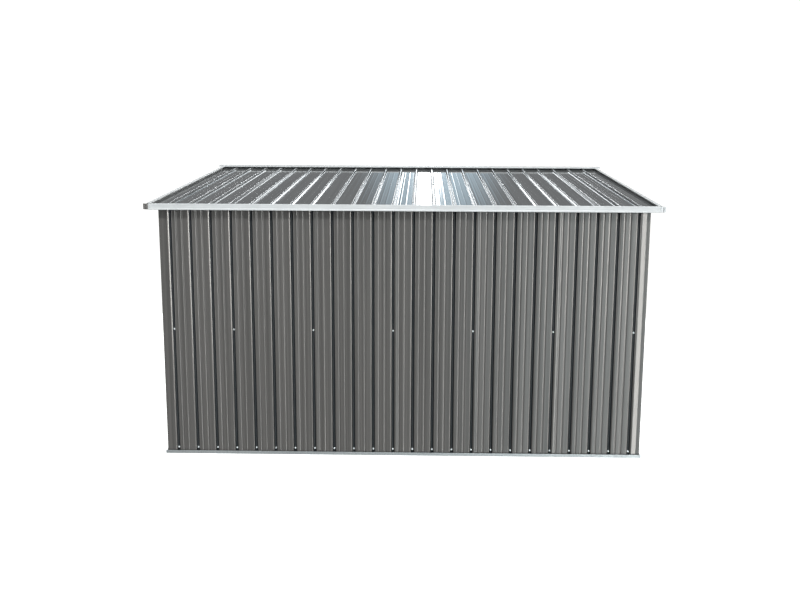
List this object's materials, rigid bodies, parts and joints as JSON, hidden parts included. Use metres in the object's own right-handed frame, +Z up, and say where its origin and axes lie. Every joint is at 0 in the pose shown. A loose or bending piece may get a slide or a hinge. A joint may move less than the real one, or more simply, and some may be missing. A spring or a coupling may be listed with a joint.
{
  "type": "metal storage shed",
  "caption": "Ribbed steel storage shed with a low apex roof, light trims, closed sliding double doors on the front and an open base.",
  "frame": {"origin": "middle of the footprint at ground level, under the middle of the ridge", "axes": "+X along the ridge, -Y out of the rear long wall, +Y out of the front wall with the doors, +Z up"},
  "size_m": [3.373, 3.1614, 2.091],
  "materials": {
    "wall_sheet": "satin charcoal paint on ribbed steel sheet",
    "roof_sheet": "glossy charcoal paint on ribbed steel sheet",
    "trim": "light grey paint on folded steel",
    "galvanised": "dull zinc coated steel",
    "frame": "zinc coated steel sections",
    "cap_plastic": "moulded plastic, dark grey",
    "cap_plastic_light": "moulded plastic, light grey",
    "handle_plastic": "moulded plastic, near black"
  },
  "bodies": {
    "root": {"base_rail_rear": "galvanised", "base_rail_front": "galvanised", "base_rail_left": "galvanised", "base_rail_right": "galvanised", "rear_wall_sheets_a": "wall_sheet", "rear_wall_sheets_b": "wall_sheet", "front_wall_sheets_a": "wall_sheet", "front_wall_sheets_b": "wall_sheet", "left_end_sheets_a": "wall_sheet", "left_end_sheets_b": "wall_sheet", "right_end_sheets_a": "wall_sheet", "right_end_sheets_b": "wall_sheet", "corner_rear_right": "wall_sheet", "corner_front_right": "wall_sheet", "corner_front_left": "wall_sheet", "corner_rear_left": "wall_sheet", "top_rail_rear": "frame", "top_rail_front": "frame", "gable_rail_left": "frame", "gable_rail_right": "frame", "mid_rail_rear": "frame", "mid_rail_front": "frame", "mid_rails_ends": "frame", "ridge_beam": "frame", "purlins": "frame", "roof_rear_sheets_a": "roof_sheet", "roof_rear_sheets_b": "roof_sheet", "roof_front_sheets_a": "roof_sheet", "roof_front_sheets_b": "roof_sheet", "fascia_rear": "trim", "fascia_front": "trim", "rake_rear_left": "trim", "rake_rear_right": "trim", "rake_front_left": "trim", "rake_front_right": "trim", "ridge_cap": "trim", "corner_caps_left": "cap_plastic", "corner_caps_right": "cap_plastic_light", "door_header": "trim", "door_jambs": "trim", "door_track": "trim", "door_sheets": "wall_sheet", "door_frame_left": "trim", "door_frame_right": "trim", "door_handles": "handle_plastic"}
  },
  "joints": []
}
